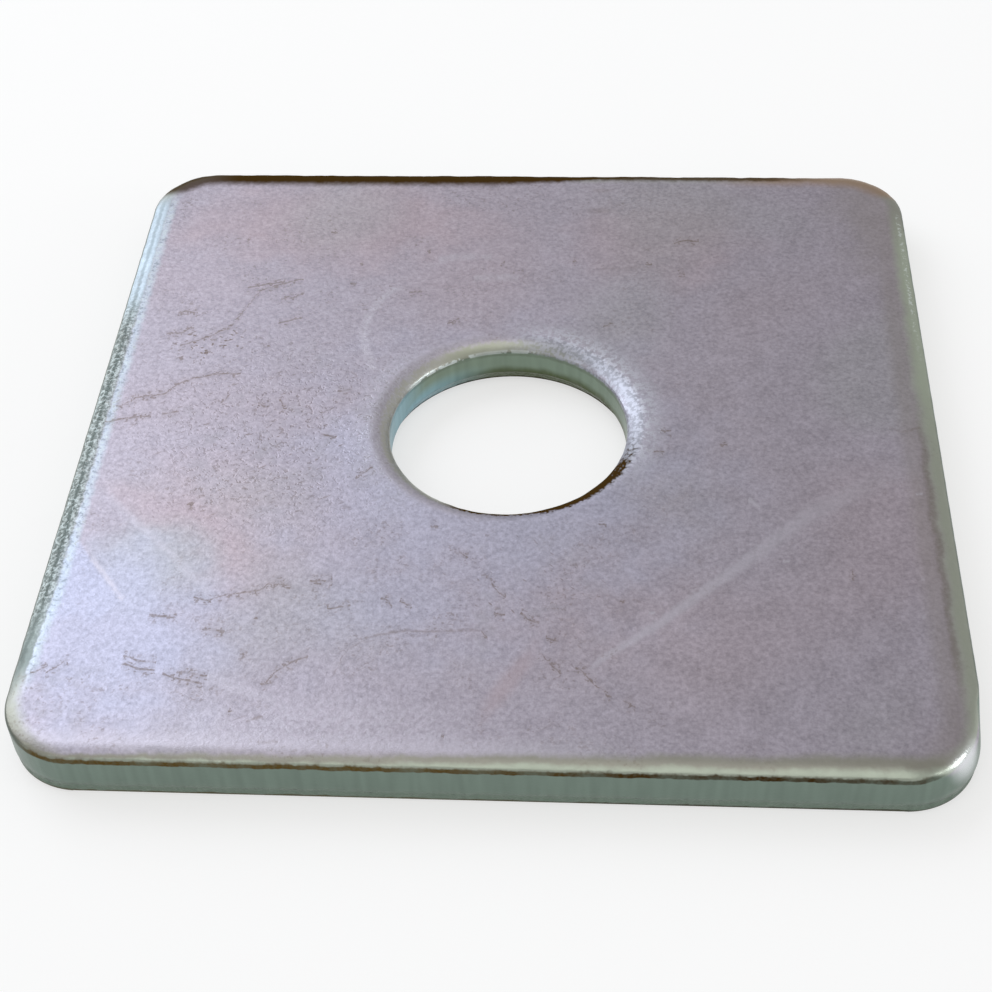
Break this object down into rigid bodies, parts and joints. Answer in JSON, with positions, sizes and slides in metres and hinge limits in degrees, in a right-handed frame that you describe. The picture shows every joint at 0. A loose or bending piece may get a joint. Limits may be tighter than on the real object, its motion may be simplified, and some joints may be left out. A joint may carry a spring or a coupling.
{
  "type": "square plate washer",
  "caption": "Square zinc-plated steel plate washer with round corners, rolled upper edges and a plain punched bolt hole, for spreading a bolt's load on timber, masonry or sheet.",
  "frame": {"origin": "on the bolt hole's axis, at the lower face that the washer rests on", "axes": "+Z along the hole's axis, out of the rolled upper face; X and Y along the straight sides"},
  "size_m": [0.05, 0.05, 0.003],
  "materials": {
    "zinc_plate": "satin zinc plate with a clear passivate, mauve grey on the faces and green grey on the sheared walls, scuffed and stained"
  },
  "bodies": {
    "root": {"plate_washer": "zinc_plate"}
  },
  "joints": []
}
